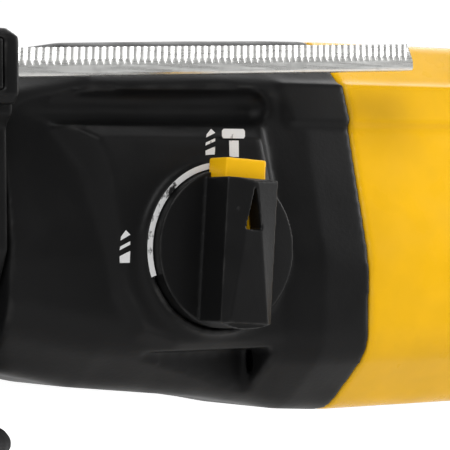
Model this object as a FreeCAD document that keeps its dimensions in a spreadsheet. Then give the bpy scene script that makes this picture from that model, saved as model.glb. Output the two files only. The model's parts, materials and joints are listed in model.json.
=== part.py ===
import FreeCAD, Part
import math
import os
import Sketcher
from FreeCAD import Placement, Rotation, Vector
from fcgear import fcgear, involute

# A corded rotary hammer. X runs back along the spindle from the mouth of the tool bore,
# Z is up, and the mode selector is on the -Y side. All lengths are in millimetres.

X_AXIS = Vector(1, 0, 0)
Y_AXIS = Vector(0, 1, 0)
Z_AXIS = Vector(0, 0, 1)

SIZES = {
    # chuck and spindle
    "bore_r": 5.05, "bore_depth": 50, "spindle_nose_r": 8.5, "spindle_step_x": 52, "spindle_r": 11,
    "guide_r": 6.6, "chamber_x": 84.2, "chamber_r": 12.55, "tube_x": 82.2, "tube_r": 15, "tube_end_x": 156,
    "fit": 0.05, "gap": 0.3,
    "ball_x": 27, "ball_r": 3.5, "ball_z": 8.7, "lock_ring_x": 22, "lock_ring_r": 14.5,
    "sleeve_x": 14, "sleeve_end_x": 50, "sleeve_r": 18.5, "sleeve_web": 3,
    "cap_nose_x": -5, "cap_end_x": 12, "cap_r": 17, "cap_mouth_r": 5.7, "snap_x": 12.2, "snap_width": 1.2,
    "front_bearing_x": 72, "front_bearing_width": 10, "front_bearing_r": 18.5, "seal_x": 64, "seal_width": 5,
    "seal_r": 16, "neck_x": 62, "neck_r": 22.4, "neck_lip_r": 12.5,
    # hammer mechanism
    "bolt_x": 54, "bolt_flange_x": 87, "bolt_end_x": 92, "bolt_r": 6.5, "bolt_flange_r": 11.8,
    "ram_x": 106, "ram_end_x": 134, "ram_r": 9.95, "ram_groove_x": 123.6, "ram_groove_width": 2.8,
    "piston_x": 116, "piston_floor_x": 150, "piston_wall_x": 157, "piston_end_x": 175, "piston_r": 12.5,
    "cup_r": 10, "slot_half": 5.5, "wobble_x": 166, "pin_r": 6, "pin_half": 10,
    "finger_r": 3.5, "finger_top_z": 5, "wobble_ring_r": 17, "wobble_half": 5.5, "hub_r": 12, "hub_half": 8,
    # gear train
    "jack_z": -33, "armature_z": -14, "gear_x": 104, "gear_width": 10, "spindle_module": 1.2,
    "spindle_teeth": 42, "pinion_teeth": 13, "motor_module": 1, "jack_teeth": 28, "motor_teeth": 10,
    "jack_gear_x": 184, "jack_gear_width": 8, "jack_r": 5, "jack_x": 95, "jack_end_x": 200,
    "jack_bearing_width": 5, "jack_bearing_r": 8, "clutch_x": 118, "clutch_width": 8, "clutch_r": 9,
    "clutch_groove_r": 7, "fork_y": -20.5, "fork_plate": 2, "fork_width": 1.5,
    # motor
    "plate_x": 194.9, "plate_width": 5.1, "shaft_r": 4, "shaft_x": 183, "shaft_end_x": 280,
    "fan_x": 202.5, "fan_r": 33, "core_x": 214, "core_width": 36,
    "core_r": 21.5, "stator_in_r": 22.3, "stator_r": 35.5, "commutator_x": 257, "commutator_width": 11,
    "commutator_r": 12, "bracket_x": 268.5, "bracket_width": 10.5, "bracket_r": 28, "rear_bearing_x": 271,
    "brush_x": 262.5, "brush_half_x": 3, "brush_half_z": 4, "brush_y": 12.3, "brush_end_y": 24,
    "holder_y": 14, "holder_end_y": 34, "holder_wall": 1.2,
    # selector
    "knob_x": 149, "knob_z": -18.5, "knob_turn": 4.4, "pad_y": -38.3, "ring_y": -41.1, "ring_r": 22,
    "disc_r": 20.1, "disc_y": -44, "bar_y": -54, "bar_half": 7.5, "ridge_y": -55.5, "knob_pin_r": 3.5,
    "lock_half": 6, "lock_y": -50.6, "lock_back_y": -42.3, "lock_in": 14.4, "lock_out": 22.6,
    "bar_end": 17.6, "knob_shaft_r": 6,
    # side handle and depth rod
    "clamp_x": 68, "clamp_width": 24.4, "clamp_in_r": 23.3, "band_r": 22.5, "nose_room_r": 53.5,
    "handle_x": 80, "flange_z": -62, "flange_r": 26.5, "grip_end_z": -175, "grip_r": 17.5, "clamp_bolt_r": 4,
    "rod_y": -45, "rod_z": 26.85, "rod_tilt": 2.2, "rod_x": -6, "rod_length": 211,
    "block_y": -52, "block_in_y": -38, "block_z": 16.5, "block_top_z": 34.5, "button_x": 72,
    "button_width": 10, "block_end_x": 86.1,
    # housings and rear handle
    "wall": 2.6, "rear_x": 194.7, "grip_x": 346, "top_bar_z": 20, "grip_low_z": -106, "loop_half": 17,
    "loop_corner": 26, "loop_x": 274, "low_bar_x": 266, "low_bar_z": -51, "trigger_x": 320,
    "trigger_top_z": 0, "trigger_low_z": -44, "trigger_half": 7, "stop_x": 334.6, "stop_width": 1.8,
    "switch_x": 342, "switch_end_x": 358, "screw_r": 2, "vent_x": 256, "vent_pitch": 5, "vent_width": 2.4,
}

# Corners of half a housing section, from the top round to the bottom: across and up.
STATIONS = {
    "nose": (93, (12, 26), (27, 19), (33.5, -18), (32, -36), (16, -48)),
    "front": (118, (14, 34.8), (31, 23), (35, -20), (35, -41), (19, -53.5)),
    "middle": (155, (15, 36.3), (32, 24), (37, -21), (37.5, -44), (21, -57.5)),
    "step": (170, (15, 36.8), (32, 24), (38.3, -21.5), (38.5, -45), (21.5, -60)),
    "belt": (180, (15, 37.2), (31.5, 24), (42.2, -22), (41.8, -46), (22, -62)),
    "rear": (194.7, (15, 37.5), (31, 24), (42.5, -22), (42, -46), (22, -63)),
    "tail": (252, (15, 37.2), (31, 24), (42, -22), (41.5, -46), (22, -63)),
    "waist": (270, (14, 36.8), (30, 23), (40, -22), (39, -46), (21, -63)),
    "end": (292, (13, 36), (22, 25), (28, -22), (27, -50), (15, -66)),
}
CORNER_RADII = (8, 8, 30, 14, 14)
STEPS_PER_TURN = 14
WIRE_SIDES = 8

# Gear teeth: angle in degrees, the rest as shares of the module. The motor's ten-tooth pinion
# is shifted outwards and its wheel inwards, so that the wheel's tips clear the pinion's roots.
PRESSURE_ANGLE = 25
TOOTH_HEAD = 0.85
TOOTH_FOOT = 1.15
TOOTH_FILLET = 0.2
PROFILE_SHIFT = -0.06
PINION_SHIFT = 0.3
WHEEL_SHIFT = -0.42


class Size(float):
    """A number that also carries the spreadsheet expression it comes from."""

    def __new__(cls, value, text):
        size = super().__new__(cls, value)
        size.text = text
        return size

    def joined(self, sign, other, value):
        return Size(value, "(%s %s %s)" % (self.text, sign, text_of(other)))

    def __add__(self, other):
        return self.joined("+", other, float(self) + float(other))

    def __sub__(self, other):
        return self.joined("-", other, float(self) - float(other))

    def __mul__(self, other):
        return self.joined("*", other, float(self) * float(other))

    def __truediv__(self, other):
        return self.joined("/", other, float(self) / float(other))

    def __radd__(self, other):
        return Size(float(other), text_of(other)) + self

    def __rsub__(self, other):
        return Size(float(other), text_of(other)) - self

    def __rmul__(self, other):
        return Size(float(other), text_of(other)) * self

    def __neg__(self):
        return self * -1


def text_of(number):
    """The expression text of a plain number or of a Size."""
    return number.text if isinstance(number, Size) else "(%r)" % float(number)


class Sheet:
    """The driving dimensions, each a Size read from its spreadsheet cell."""

    def __init__(self, doc):
        self.cells = doc.addObject("Spreadsheet::Sheet", "Sizes")
        self.row = 0

    def add(self, alias, value):
        self.row += 1
        self.cells.set("A%d" % self.row, alias)
        self.cells.set("B%d" % self.row, repr(value))
        self.cells.setAlias("B%d" % self.row, alias)
        setattr(self, alias, Size(value, "Sizes.%s" % alias))

    def station(self, name):
        """The place along X and the five corners of one housing section."""
        corners = [
            (getattr(self, "%s_y%d" % (name, i)), getattr(self, "%s_z%d" % (name, i)))
            for i in range(1, 6)
        ]
        return getattr(self, name + "_x0"), corners


doc = FreeCAD.newDocument("rotary_hammer")
d = Sheet(doc)
for alias, value in SIZES.items():
    d.add(alias, value)
for name, (station_x, *corners) in STATIONS.items():
    d.add(name + "_x0", station_x)
    for number, (across, up) in enumerate(corners, 1):
        d.add("%s_y%d" % (name, number), across)
        d.add("%s_z%d" % (name, number), up)
doc.recompute()


# ---- builders ----

def name_for(label, kind):
    return "%s_%s" % (label, kind)


def bind_place(thing, place, turn=None):
    """Puts a thing at a place that stays bound to the sheet."""
    if turn is not None:
        thing.Placement = Placement(Vector(), turn)
    for axis, value in zip("xyz", place):
        thing.setExpression("Placement.Base." + axis, text_of(value))


def sketch_on(body, role, corners, offset=0):
    """A closed sketch of straight sides on one of the body's origin planes."""
    plane = next(f for f in body.Origin.OriginFeatures if f.Role == role)
    sketch = body.newObject("Sketcher::SketchObject", name_for(body.Name, "outline"))
    sketch.AttachmentSupport = [(plane, "")]
    sketch.MapMode = "FlatFace"
    sketch.setExpression("AttachmentOffset.Base.z", text_of(offset))
    points = [Vector(float(x), float(y), 0) for x, y in corners]
    count = len(points)
    for i in range(count):
        sketch.addGeometry(Part.LineSegment(points[i], points[(i + 1) % count]), False)
    for i in range(count):
        sketch.addConstraint(Sketcher.Constraint("Coincident", i, 2, (i + 1) % count, 1))
    for i, corner in enumerate(corners):
        for kind, value in zip(("DistanceX", "DistanceY"), corner):
            made = sketch.addConstraint(Sketcher.Constraint(kind, -1, 1, i, 1, float(value)))
            sketch.setExpression("Constraints[%d]" % made, text_of(value))
    return sketch


def turned(label, corners, place=(0, 0, 0), along=X_AXIS):
    """A turned piece: corners are (distance along the axis, radius)."""
    body = doc.addObject("PartDesign::Body", label)
    sketch = sketch_on(body, "XZ_Plane", corners)
    revolution = body.newObject("PartDesign::Revolution", name_for(label, "turn"))
    revolution.Profile = sketch
    revolution.ReferenceAxis = (sketch, ["H_Axis"])
    revolution.Angle = 360
    bind_place(body, place, Rotation(X_AXIS, along))
    return body


def ring(label, start, length, inner, outer, place=(0, 0, 0), along=X_AXIS):
    """A plain ring or, with no inner radius, a plain disc."""
    end = start + length
    corners = [(start, inner), (start, outer), (end, outer), (end, inner)]
    return turned(label, corners, place, along)


def plate(label, role, corners, start, length):
    """A flat outline padded along +X (YZ_Plane), +Z (XY_Plane) or, from start, along -Y (XZ_Plane)."""
    body = doc.addObject("PartDesign::Body", label)
    offset = -1 * start if role == "XZ_Plane" else start
    sketch = sketch_on(body, role, corners, offset)
    pad = body.newObject("PartDesign::Pad", name_for(label, "pad"))
    pad.Profile = sketch
    pad.setExpression("Length", text_of(length))
    return body


def box(label, low, high, turn=None):
    thing = doc.addObject("Part::Box", label)
    for side, first, last in zip(("Length", "Width", "Height"), low, high):
        thing.setExpression(side, text_of(last - first))
    bind_place(thing, low, turn)
    return thing


def rod(label, base, along, length, radius):
    """A plain cylinder from a point along a direction."""
    thing = doc.addObject("Part::Cylinder", label)
    thing.setExpression("Radius", text_of(radius))
    thing.setExpression("Height", text_of(length))
    bind_place(thing, base, Rotation(Z_AXIS, along))
    return thing


def ball(label, place, radius):
    thing = doc.addObject("Part::Sphere", label)
    thing.setExpression("Radius", text_of(radius))
    bind_place(thing, place)
    return thing


def group(label, pieces):
    thing = doc.addObject("Part::Compound", label)
    thing.Links = list(pieces)
    return thing


def fused(label, pieces):
    thing = doc.addObject("Part::MultiFuse", label)
    thing.Shapes = list(pieces)
    return thing


def cut(label, base, tools):
    tools = list(tools)
    thing = doc.addObject("Part::Cut", label)
    thing.Base = base
    thing.Tool = tools[0] if len(tools) == 1 else fused(name_for(label, "tools"), tools)
    return thing


def common(label, first, second):
    thing = doc.addObject("Part::MultiCommon", label)
    thing.Shapes = [first, second]
    return thing


def feature(label, shape, place=Placement()):
    """A piece whose shape comes straight from Part's functions, moved on from where it was made."""
    thing = doc.addObject("Part::Feature", label)
    thing.Shape = shape
    thing.Placement = place.multiply(shape.Placement)
    return thing


def inset(corners, amount):
    """A convex outline, anticlockwise, with every side moved inwards."""
    lines = []
    for i, (x, y) in enumerate(corners):
        next_x, next_y = corners[(i + 1) % len(corners)]
        length = math.hypot(next_x - x, next_y - y)
        normal = (-(next_y - y) / length, (next_x - x) / length)
        lines.append((normal, normal[0] * x + normal[1] * y + amount))
    moved = []
    for i in range(len(corners)):
        (a, b), c = lines[i - 1]
        (p, q), r = lines[i]
        determinant = a * q - b * p
        moved.append(((c * q - b * r) / determinant, (a * r - c * p) / determinant))
    return moved


def rounded_wire(corners, radii, to_space):
    """A closed wire with an arc at every corner, placed by the to_space function."""
    arcs = []
    count = len(corners)
    for i in range(count):
        corner = Vector(*corners[i], 0)
        back = Vector(*corners[i - 1], 0) - corner
        forward = Vector(*corners[(i + 1) % count], 0) - corner
        back.normalize()
        forward.normalize()
        half = back.getAngle(forward) / 2
        reach = radii[i] / math.tan(half)
        inwards = (back + forward).normalize()
        middle = corner + inwards * (radii[i] / math.sin(half) - radii[i])
        arcs.append([corner + back * reach, middle, corner + forward * reach])
    edges = []
    for i in range(count):
        first, middle, last = [to_space(point) for point in arcs[i]]
        edges.append(Part.Arc(first, middle, last).toShape())
        edges.append(Part.LineSegment(last, to_space(arcs[(i + 1) % count][0])).toShape())
    return Part.Wire(edges)


def housing_wire(name, amount=0.0, at=None):
    """The housing's outline at one station, with its sides moved inwards by amount."""
    station_x, half = d.station(name)
    whole = [(float(y), float(z)) for y, z in half]
    left = [(-y, z) for y, z in whole]
    corners = left + whole[::-1]
    radii = list(CORNER_RADII) + list(CORNER_RADII[::-1])
    if amount:
        corners = inset(corners, amount)
        radii = [max(radius - amount, 1.0) for radius in radii]
    along = float(station_x if at is None else at)
    return rounded_wire(corners, radii, lambda point: Vector(along, point.x, point.y))


def housing_loft(names, amount=0.0, ends=(None, None)):
    places = [ends[0]] + [None] * (len(names) - 2) + [ends[1]]
    wires = [housing_wire(name, amount, place) for name, place in zip(names, places)]
    return Part.makeLoft(wires, True, True)


def slab(low, high):
    """A plain block as a shape."""
    size = Vector(*high) - Vector(*low)
    return Part.makeBox(size.x, size.y, size.z, Vector(*low))


def tube(base, along, length, radius):
    return Part.makeCylinder(float(radius), float(length), Vector(*base), along)


def mirrored(shape):
    return shape.mirror(Vector(), Y_AXIS)


def spring(label, base, along, length, radius, wire_r, turns):
    """A helical spring from a point along a direction, as one solid of eight-sided wire."""
    sections = []
    count = STEPS_PER_TURN * turns
    for i in range(count + 1):
        angle = 2 * math.pi * i / STEPS_PER_TURN
        out = Vector(math.cos(angle), math.sin(angle), 0)
        middle = out * radius + Z_AXIS * (wire_r + (length - 2 * wire_r) * i / count)
        corners = []
        for k in range(WIRE_SIDES):
            turn = 2 * math.pi * k / WIRE_SIDES
            corners.append(middle + (out * math.cos(turn) + Z_AXIS * math.sin(turn)) * wire_r)
        sections.append(Part.makePolygon(corners + corners[:1]))
    coil = Part.makeLoft(sections, True, True)
    return feature(label, coil, Placement(Vector(*base), Rotation(Z_AXIS, along)))


def gear(label, module, teeth, start, width, bore, height, phase, shift=PROFILE_SHIFT):
    """An involute spur gear on an axis along X; with phase 0 a tooth points down."""
    outline = fcgear.FCWireBuilder()
    involute.CreateExternalGear(outline, float(module), int(teeth), PRESSURE_ANGLE, True,
                                TOOTH_HEAD, TOOTH_FOOT, TOOTH_FILLET, shift)
    face = Part.Face(Part.Wire([curve.toShape() for curve in outline.wire]))
    blank = face.extrude(Vector(0, 0, float(width)))
    blank = blank.cut(tube((0, 0, 0), Z_AXIS, width, bore)) if bore else blank
    blank.rotate(Vector(), Z_AXIS, phase)
    turn = Rotation(Vector(0, 0, -1), Y_AXIS, X_AXIS, "XYZ")
    return feature(label, blank, Placement(Vector(float(start), 0, float(height)), turn))


def bearing_pieces(label, start, width, bore, outer, height, balls):
    """Outer ring, inner ring and balls of a ball bearing on an axis along X."""
    band = (outer - bore) / 3
    middle = (outer + bore) / 2
    place = (0, 0, height)
    pieces = [
        ring(label + "_outer", start, width, outer - band, outer, place),
        ring(label + "_inner", start, width, bore, bore + band, place),
    ]
    for i in range(balls):
        angle = 2 * math.pi * i / balls
        at = (start + width / 2, middle * math.cos(angle), height + middle * math.sin(angle))
        pieces.append(ball("%s_ball_%d" % (label, i), at, band / 2 - 0.02))
    return pieces


# ---- chuck and spindle ----

def build_spindle():
    outline = [
        (0, d.bore_r), (0, d.spindle_nose_r - 1), (1, d.spindle_nose_r), (d.snap_x, d.spindle_nose_r),
        (d.snap_x, d.spindle_nose_r - 0.6), (d.snap_x + d.snap_width, d.spindle_nose_r - 0.6),
        (d.snap_x + d.snap_width, d.spindle_nose_r), (d.spindle_step_x, d.spindle_nose_r),
        (d.spindle_step_x, d.spindle_r), (d.tube_x, d.spindle_r), (d.tube_x, d.tube_r),
        (d.tube_end_x, d.tube_r), (d.tube_end_x, d.chamber_r), (d.chamber_x, d.chamber_r),
        (d.chamber_x, d.guide_r), (d.bore_depth, d.guide_r), (d.bore_depth, d.bore_r),
    ]
    blank = turned("spindle_blank", outline)
    window = rod("ball_window", (d.ball_x, 0, 0), Z_AXIS, d.spindle_r, d.ball_r + d.fit)
    cut("spindle", blank, [window])


def build_chuck():
    ball("locking_ball", (d.ball_x, 0, d.ball_z), d.ball_r)
    inner = d.spindle_nose_r + d.fit
    web_x = d.lock_ring_x + 8.5
    turned("lock_ring", [
        (d.lock_ring_x, 12.4), (d.lock_ring_x, d.lock_ring_r), (web_x + 2.5, d.lock_ring_r),
        (web_x + 2.5, inner), (web_x, inner), (web_x, 12.4),
    ])
    front = d.sleeve_x
    turned("chuck_sleeve", [
        (front, inner), (front, d.sleeve_r - 3), (front + 3, d.sleeve_r - 1),
        (d.sleeve_end_x - 10, d.sleeve_r),
        (d.sleeve_end_x - 8, d.sleeve_r - 1), (d.sleeve_end_x - 1, d.sleeve_r - 1),
        (d.sleeve_end_x, d.sleeve_r - 2), (d.sleeve_end_x, d.lock_ring_r),
        (front + d.sleeve_web, d.lock_ring_r), (front + d.sleeve_web, inner),
    ])
    spring_x = web_x + 2.5
    spring("sleeve_spring", (spring_x, 0, 0), X_AXIS, d.spindle_step_x - spring_x, 10.3, 0.65, 5)
    turned("dust_cap", [
        (d.cap_nose_x, d.cap_mouth_r), (d.cap_nose_x, 9), (d.cap_nose_x + 2, 11.5), (2, 12.5),
        (5, 15.5), (7, d.cap_r), (d.cap_end_x - 1, d.cap_r), (d.cap_end_x, d.cap_r - 1),
        (d.cap_end_x, d.spindle_nose_r), (1, d.spindle_nose_r), (0, d.spindle_nose_r - 1),
        (0, d.cap_mouth_r),
    ])
    hoop = ring("snap_hoop", d.snap_x, d.snap_width, d.spindle_nose_r - 0.6, d.spindle_nose_r + 1.6)
    mouth = box("snap_gap", (d.snap_x - 1, -3, -12), (d.snap_x + 3, 3, -5))
    cut("chuck_snap_ring", hoop, [mouth])
    group("spindle_front_bearing", bearing_pieces(
        "front_bearing", d.front_bearing_x, d.front_bearing_width, d.spindle_r + d.fit,
        d.front_bearing_r, 0, 12))
    turned("spindle_seal", [
        (d.seal_x, 13), (d.seal_x, d.seal_r), (d.seal_x + d.seal_width, d.seal_r),
        (d.seal_x + d.seal_width, d.spindle_r + d.fit), (d.seal_x + 2, d.spindle_r + d.fit),
    ])
    ring("spindle_rear_bush", 141, 9, d.tube_r + d.fit, d.tube_r + 2.5)


# ---- hammer mechanism ----

def build_hammer():
    turned("impact_bolt", [
        (d.bolt_x, 0), (d.bolt_x, d.bolt_r - 1.5), (d.bolt_x + 1.5, d.bolt_r), (d.bolt_flange_x, d.bolt_r),
        (d.bolt_flange_x, d.bolt_flange_r), (d.bolt_end_x - 1, d.bolt_flange_r),
        (d.bolt_end_x, d.bolt_flange_r - 3), (d.bolt_end_x, 0),
    ])
    groove_end = d.ram_groove_x + d.ram_groove_width
    turned("ram", [
        (d.ram_x, 0), (d.ram_x, d.ram_r - 3), (d.ram_x + 2, d.ram_r - 1), (d.piston_x - 4, d.ram_r),
        (d.ram_groove_x, d.ram_r), (d.ram_groove_x, d.ram_r - 2.65), (groove_end, d.ram_r - 2.65),
        (groove_end, d.ram_r), (d.ram_end_x - 1, d.ram_r), (d.ram_end_x, d.ram_r - 1), (d.ram_end_x, 0),
    ])
    seal = Part.makeTorus(d.ram_r - 1.32, 1.3, Vector(), X_AXIS)
    feature("ram_o_ring", seal, Placement(Vector(d.ram_groove_x + d.ram_groove_width / 2, 0, 0), Rotation()))
    blank = turned("piston_blank", [
        (d.piston_x, d.cup_r), (d.piston_x, d.piston_r), (d.piston_end_x, d.piston_r), (d.piston_end_x, 0),
        (d.piston_floor_x, 0), (d.piston_floor_x, d.cup_r),
    ])
    slot = box("piston_slot", (d.piston_wall_x, -d.slot_half, -15), (d.piston_end_x + 1, d.slot_half, 15))
    pin_hole = rod("piston_pin_hole", (d.wobble_x, -15, 0), Y_AXIS, 30, d.pin_r + d.fit)
    cut("piston", blank, [slot, pin_hole])
    pin = rod("pin_blank", (d.wobble_x, -d.pin_half, 0), Y_AXIS, 2 * d.pin_half, d.pin_r)
    eye = rod("pin_eye", (d.wobble_x, 0, -10), Z_AXIS, 20, d.finger_r + 0.3)
    cut("piston_pin", pin, [eye])
    hoop = rod("wobble_hoop", (d.wobble_x - d.wobble_half, 0, d.jack_z), X_AXIS,
               2 * d.wobble_half, d.wobble_ring_r)
    finger = rod("wobble_finger", (d.wobble_x, 0, d.jack_z), Z_AXIS, d.finger_top_z - d.jack_z, d.finger_r)
    socket = ball("wobble_socket", (d.wobble_x, 0, d.jack_z), d.hub_r + d.gap)
    cut("wobble_ring", fused("wobble_blank", [hoop, finger]), [socket])
    globe = ball("hub_ball", (d.wobble_x, 0, d.jack_z), d.hub_r)
    barrel = ring("hub_barrel", d.wobble_x - d.hub_half, 2 * d.hub_half, d.jack_r, d.hub_r + 1,
                  (0, 0, d.jack_z))
    common("wobble_hub", globe, barrel)


# ---- gear train ----

def build_gear_train():
    down = (0, 0, d.jack_z)
    half_step = 180
    gear("spindle_gear", d.spindle_module, d.spindle_teeth, d.gear_x, d.gear_width, d.tube_r, 0, 0)
    gear("jackshaft_pinion", d.spindle_module, d.pinion_teeth, d.gear_x, d.gear_width, d.jack_r, d.jack_z,
         180 + half_step / d.pinion_teeth)
    gear("jackshaft_gear", d.motor_module, d.jack_teeth, d.jack_gear_x, d.jack_gear_width, d.jack_r,
         d.jack_z, 180 + half_step / d.jack_teeth, WHEEL_SHIFT)
    turned("jackshaft", [
        (d.jack_x, 0), (d.jack_x, d.jack_r - 0.5), (d.jack_x + 0.5, d.jack_r),
        (d.jack_end_x - 0.5, d.jack_r),
        (d.jack_end_x, d.jack_r - 0.5), (d.jack_end_x, 0),
    ], down)
    width = d.jack_bearing_width
    bore = d.jack_r + d.fit
    group("jackshaft_bearings",
          bearing_pieces("jack_front", d.jack_x + 1, width, bore, d.jack_bearing_r, d.jack_z, 9)
          + bearing_pieces("jack_rear", d.plate_x, width, bore, d.jack_bearing_r, d.jack_z, 9))
    clutch_end = d.clutch_x + d.clutch_width
    groove = d.clutch_x + 3
    turned("clutch_sleeve", [
        (d.clutch_x, bore), (d.clutch_x, d.clutch_r), (groove, d.clutch_r), (groove, d.clutch_groove_r),
        (groove + 2, d.clutch_groove_r), (groove + 2, d.clutch_r), (clutch_end, d.clutch_r),
        (clutch_end, bore),
    ], down)
    build_shift_fork(groove + 0.25)


def build_shift_fork(prong_x):
    side = box("fork_side", (prong_x - 2, d.fork_y, -42), (prong_x + 36, d.fork_y + d.fork_plate, -17))
    prong = box("fork_prong", (prong_x, d.fork_y, -44), (prong_x + d.fork_width, 3, -22))
    throat = rod("fork_throat", (prong_x - 1, 0, d.jack_z), X_AXIS, 5, d.clutch_groove_r + d.gap)
    opening = box("fork_opening", (prong_x - 1, 0, d.jack_z - d.clutch_groove_r - d.gap),
                  (prong_x + 5, 8, d.jack_z + d.clutch_groove_r + d.gap))
    reach = d.knob_pin_r * math.sqrt(0.5)
    slot_x = d.knob_x - reach
    pin_slot = box("fork_slot", (slot_x - 1.85, d.fork_y - 1, -26), (slot_x + 1.85, d.fork_y + 4, -18.8))
    cut("shift_fork", fused("fork_blank", [side, prong]), [throat, opening, pin_slot])


# ---- motor ----

def build_armature():
    place = (0, 0, d.armature_z)
    axle = turned("armature_axle", [
        (d.shaft_x + 10, 0), (d.shaft_x + 10, d.shaft_r), (d.shaft_end_x, d.shaft_r), (d.shaft_end_x, 0),
    ], place)
    pinion = gear("armature_pinion", d.motor_module, d.motor_teeth, d.shaft_x, 10, 0, d.armature_z, 0,
                  PINION_SHIFT)
    fused("armature_shaft", [axle, pinion])
    core = ring("core_blank", d.core_x, d.core_width, d.shaft_r, d.core_r, place)
    slots = [
        rod("core_slot_%d" % i, (d.core_x - 1, (d.core_r - 1.4) * math.cos(i * math.pi / 6),
                                 d.armature_z + (d.core_r - 1.4) * math.sin(i * math.pi / 6)),
            X_AXIS, d.core_width + 2, 1.9)
        for i in range(12)
    ]
    cut("armature_core", core, slots)
    core_end = d.core_x + d.core_width
    front = turned("winding_front", [
        (d.core_x - 4, d.shaft_r + 4), (d.core_x - 4, 16), (d.core_x - 2, 19), (d.core_x, 19),
        (d.core_x, d.shaft_r + 3)], place)
    back = turned("winding_back", [
        (core_end, d.shaft_r + 3), (core_end, 19), (core_end + 3, 18), (core_end + 6.5, 13),
        (core_end + 6.5, d.shaft_r + 3)], place)
    group("armature_windings", [front, back])
    ring("commutator", d.commutator_x, d.commutator_width, d.shaft_r, d.commutator_r, place)
    hub = turned("fan_hub", [
        (d.fan_x, d.shaft_r), (d.fan_x, 9), (d.fan_x + 4.5, 9), (d.fan_x + 5, d.fan_r),
        (d.fan_x + 6.5, d.fan_r), (d.fan_x + 7, 9), (d.fan_x + 7, d.shaft_r)], place)
    blades = []
    for i in range(14):
        spoke = Part.makeBox(5.2, 1.4, d.fan_r - 11, Vector(d.fan_x, 0, 10.5))
        spoke.rotate(Vector(d.fan_x, 0, 10.5), X_AXIS, 18)
        spoke.rotate(Vector(), X_AXIS, i * 360 / 14)
        blades.append(feature("fan_blade_%d" % i, spoke, Placement(Vector(0, 0, d.armature_z), Rotation())))
    fused("cooling_fan", [hub] + blades)
    group("armature_bearings",
          bearing_pieces("motor_front", d.plate_x, d.plate_width, d.shaft_r + d.fit, 10, d.armature_z, 8)
          + bearing_pieces("motor_rear", d.rear_bearing_x, 6, d.shaft_r + d.fit, 10, d.armature_z, 8))


def build_stator():
    place = (0, 0, d.armature_z)
    ring("stator_core", d.core_x, d.core_width, d.stator_in_r, d.stator_r, place)
    coils = [
        ring("field_coil_%d" % i, start, length, d.stator_in_r + 2, d.stator_r - 3, place)
        for i, (start, length) in enumerate(((d.core_x - 4, 4), (d.core_x + d.core_width, 5)))
    ]
    group("stator_windings", coils)
    disc = ring("bracket_disc", d.bracket_x, 3.5, 10, d.bracket_r, place)
    boss = ring("bracket_boss", d.bracket_x, d.bracket_width, 10, 13, place)
    spokes = fused("bracket_blank", [disc, boss])
    vents = [
        rod("bracket_vent_%d" % i, (d.bracket_x - 1, 20 * math.cos(i * math.pi / 3 + math.pi / 6),
                                    d.armature_z + 20 * math.sin(i * math.pi / 3 + math.pi / 6)),
            X_AXIS, 6, 5)
        for i in range(6)
    ]
    cut("motor_end_bracket", spokes, vents)


def build_brushes():
    low_x = d.brush_x - d.brush_half_x
    high_x = d.brush_x + d.brush_half_x
    low_z = d.armature_z - d.brush_half_z
    high_z = d.armature_z + d.brush_half_z
    wall = d.holder_wall
    play = 0.1
    holders = []
    springs = []
    for side, sign in (("left", -1), ("right", 1)):
        near, far = sorted((sign * d.brush_y, sign * d.brush_end_y))
        box("brush_" + side, (low_x, near, low_z), (high_x, far, high_z))
        near, far = sorted((sign * d.holder_y, sign * d.holder_end_y))
        outer = box("holder_outer_" + side, (low_x - wall - play, near, low_z - wall - play),
                    (high_x + wall + play, far, high_z + wall + play))
        hollow_near, hollow_far = sorted((sign * (d.holder_y - 1), sign * (d.holder_end_y - 1.5)))
        hollow = box("holder_hollow_" + side, (low_x - play, hollow_near, low_z - play),
                     (high_x + play, hollow_far, high_z + play))
        holders.append(cut("holder_" + side, outer, [hollow]))
        base = (d.brush_x, sign * d.brush_end_y, d.armature_z)
        length = float(d.holder_end_y - 1.5 - d.brush_end_y)
        springs.append(spring("brush_spring_" + side, base, Vector(0, sign, 0), length, 2.2, 0.35, 5))
    group("brush_holders", holders)
    group("brush_springs", springs)


# ---- housings ----

# Plan of the hollow under the side, and its roof.
SCOOP_PLAN = ((90, -38), (166.6, -24.5), (170.4, -60), (90, -60))
SCOOP_TOP_Z = -44.4
SCOOP_LOW_Z = -75
CHANNEL_R = 4.9
CHANNEL_START = (86, -33.2, 17.4)
CHANNEL_END = (164.6, -33.2, 18.4)
# Side view of the raised pad round the selector, anticlockwise.
PAD_OUTLINE = ((114.6, 9.4), (118.3, 2.7), (120.8, -13.4), (123, -28.3), (128.5, -38), (138, -41.6),
               (172.5, -42.2), (170.5, -22), (163.5, 9.4))
PAD_BEVEL_WIDTH = 6
PAD_BEVEL_DEPTH = 7.2
# Section of the raised rib below the shoulder, as Y and Z.
RIB_SECTION = ((-26, 25.6), (-31.4, 25), (-34.9, 14.5), (-33.2, 12.7), (-26, 12.7))
RIB_START_X = 172


def channel(radius):
    """The finger channel in the side of the gear housing, with a ball end."""
    start = Vector(*CHANNEL_START)
    end = Vector(*CHANNEL_END)
    run = end - start
    body = Part.makeCylinder(radius, run.Length, start, run)
    return body.fuse(Part.makeSphere(radius, end))


def wedge(corners, low, high):
    """A prism between two heights over a plan outline."""
    points = [Vector(x, y, low) for x, y in corners]
    return Part.Face(Part.makePolygon(points + points[:1])).extrude(Vector(0, 0, high - low))


def scoop(thickness):
    """The hollow under the side, whose wall runs inwards towards the back."""
    front, inner, outer, corner = SCOOP_PLAN
    plan = [
        (front[0], front[1] + thickness), (inner[0], inner[1] + thickness),
        (outer[0] + thickness, outer[1]), corner,
    ]
    return wedge(plan, SCOOP_LOW_Z, SCOOP_TOP_Z + thickness)


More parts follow.
